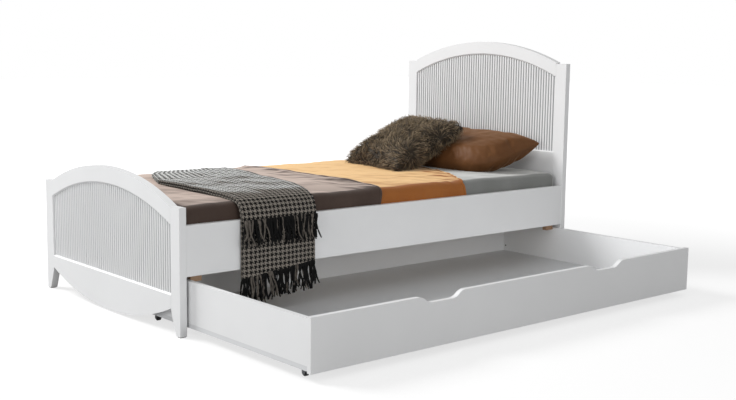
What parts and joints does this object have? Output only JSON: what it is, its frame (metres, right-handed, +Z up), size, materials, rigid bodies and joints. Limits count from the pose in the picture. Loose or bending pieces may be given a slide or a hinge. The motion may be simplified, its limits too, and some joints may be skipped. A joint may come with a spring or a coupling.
{
  "type": "trundle bed",
  "caption": "Single bed with arched, reeded head and foot ends and a full-length drawer on castors that rolls out below; made up with mattress, covers, throw and cushions.",
  "frame": {"origin": "on the floor, at the middle of the footprint with the drawer rolled out; the bed's own middle is 343 mm toward +Y from it", "axes": "+X along the bed toward the headboard, -Y the side where the drawer rolls out, +Z up"},
  "size_m": [2.056, 1.736, 1.047],
  "materials": {
    "white_lacquer": "white satin lacquer on board",
    "drawer_board": "white melamine-faced board",
    "beech_dowel": "plain beech",
    "pine": "planed pine",
    "stained_pine": "brown stained pine",
    "glide_plastic": "dark moulded plastic",
    "black_plastic": "black moulded plastic",
    "wheel_nylon": "dark moulded nylon",
    "zinc_screw": "zinc plated",
    "bracket_steel": "zinc plated sheet",
    "castor_steel": "dull zinc plated sheet",
    "ticking": "woven cotton ticking",
    "grey_jersey": "plain knitted cotton",
    "brown_cotton": "washed cotton",
    "orange_cotton": "washed cotton",
    "houndstooth_wool": "soft wool check weave",
    "fringe_yarn": "twisted yarn",
    "brown_satin": "satin with a soft sheen",
    "long_fur": "long shaggy pile"
  },
  "bodies": {
    "bed_frame": {"footboard_post_near": "white_lacquer", "footboard_post_far": "white_lacquer", "footboard_arch_rail": "white_lacquer", "footboard_reeded_panel": "white_lacquer", "footboard_lower_board": "white_lacquer", "headboard_post_near": "white_lacquer", "headboard_post_far": "white_lacquer", "headboard_arch_rail": "white_lacquer", "headboard_reeded_panel": "white_lacquer", "headboard_lower_board": "white_lacquer", "side_rail_near": "white_lacquer", "side_rail_far": "white_lacquer", "footboard_dowels": "beech_dowel", "headboard_dowels": "beech_dowel", "footboard_glides": "glide_plastic", "headboard_glides": "glide_plastic", "slat_ledge_near": "pine", "slat_ledge_far": "pine", "bed_slats": "pine", "drawer_stop_blocks": "stained_pine", "slat_screws": "zinc_screw", "ledge_screws": "zinc_screw", "stop_block_screws": "zinc_screw", "corner_bracket_screws": "zinc_screw", "corner_brackets": "bracket_steel"},
    "drawer": {"drawer_front": "white_lacquer", "drawer_back": "white_lacquer", "drawer_side_foot": "white_lacquer", "drawer_side_head": "white_lacquer", "drawer_base": "drawer_board", "drawer_front_dowels": "beech_dowel", "drawer_base_screws": "zinc_screw", "drawer_corner_screws": "zinc_screw", "drawer_side_plugs": "black_plastic", "castor_brackets": "castor_steel", "castor_axles": "castor_steel", "castor_screws": "zinc_screw"},
    "mattress_set": {"mattress": "ticking", "fitted_sheet": "grey_jersey", "brown_cover": "brown_cotton", "orange_cover": "orange_cotton", "throw_lower_layer": "houndstooth_wool", "throw_upper_layer": "houndstooth_wool", "throw_lower_fringe": "fringe_yarn", "throw_upper_fringe": "fringe_yarn"},
    "satin_pillow": {"satin_pillow": "brown_satin"},
    "fur_cushion": {"fur_cushion": "long_fur"},
    "wheel_front_foot": {"castor_wheel_front_foot": "wheel_nylon"},
    "wheel_front_middle": {"castor_wheel_front_middle": "wheel_nylon"},
    "wheel_front_head": {"castor_wheel_front_head": "wheel_nylon"},
    "wheel_back_foot": {"castor_wheel_back_foot": "wheel_nylon"},
    "wheel_back_middle": {"castor_wheel_back_middle": "wheel_nylon"},
    "wheel_back_head": {"castor_wheel_back_head": "wheel_nylon"}
  },
  "joints": [
    {"name": "drawer_roll", "type": "slide", "parent": "bed_frame", "child": "drawer", "axis": [0, -1, 0], "range_m": [-0.687, 0.277], "deforming": ["throw_lower_layer", "throw_lower_fringe"]},
    {"name": "mattress_lift", "type": "slide", "parent": "bed_frame", "child": "mattress_set", "axis": [0, 0, 1], "range_m": [0, 0.3]},
    {"name": "pillow_lift", "type": "slide", "parent": "mattress_set", "child": "satin_pillow", "axis": [0, 0, 1], "range_m": [0, 0.25]},
    {"name": "cushion_lift", "type": "slide", "parent": "satin_pillow", "child": "fur_cushion", "axis": [0, 0, 1], "range_m": [0, 0.25]},
    {"name": "wheel_spin_front_foot", "type": "hinge", "parent": "drawer", "child": "wheel_front_foot", "pos_m": [-0.955, -0.797, 0.013], "axis": [1, 0, 0], "range_deg": [-3100, 1300]},
    {"name": "wheel_spin_front_middle", "type": "hinge", "parent": "drawer", "child": "wheel_front_middle", "pos_m": [0, -0.797, 0.013], "axis": [1, 0, 0], "range_deg": [-3100, 1300]},
    {"name": "wheel_spin_front_head", "type": "hinge", "parent": "drawer", "child": "wheel_front_head", "pos_m": [0.955, -0.797, 0.013], "axis": [1, 0, 0], "range_deg": [-3100, 1300]},
    {"name": "wheel_spin_back_foot", "type": "hinge", "parent": "drawer", "child": "wheel_back_foot", "pos_m": [-0.955, 0.093, 0.013], "axis": [1, 0, 0], "range_deg": [-3100, 1300]},
    {"name": "wheel_spin_back_middle", "type": "hinge", "parent": "drawer", "child": "wheel_back_middle", "pos_m": [0, 0.093, 0.013], "axis": [1, 0, 0], "range_deg": [-3100, 1300]},
    {"name": "wheel_spin_back_head", "type": "hinge", "parent": "drawer", "child": "wheel_back_head", "pos_m": [0.955, 0.093, 0.013], "axis": [1, 0, 0], "range_deg": [-3100, 1300]}
  ],
  "couplings": [
    {"joint": "wheel_spin_front_foot", "follows": "drawer_roll", "rad_per_m": 76.923},
    {"joint": "wheel_spin_front_middle", "follows": "drawer_roll", "rad_per_m": 76.923},
    {"joint": "wheel_spin_front_head", "follows": "drawer_roll", "rad_per_m": 76.923},
    {"joint": "wheel_spin_back_foot", "follows": "drawer_roll", "rad_per_m": 76.923},
    {"joint": "wheel_spin_back_middle", "follows": "drawer_roll", "rad_per_m": 76.923},
    {"joint": "wheel_spin_back_head", "follows": "drawer_roll", "rad_per_m": 76.923}
  ]
}
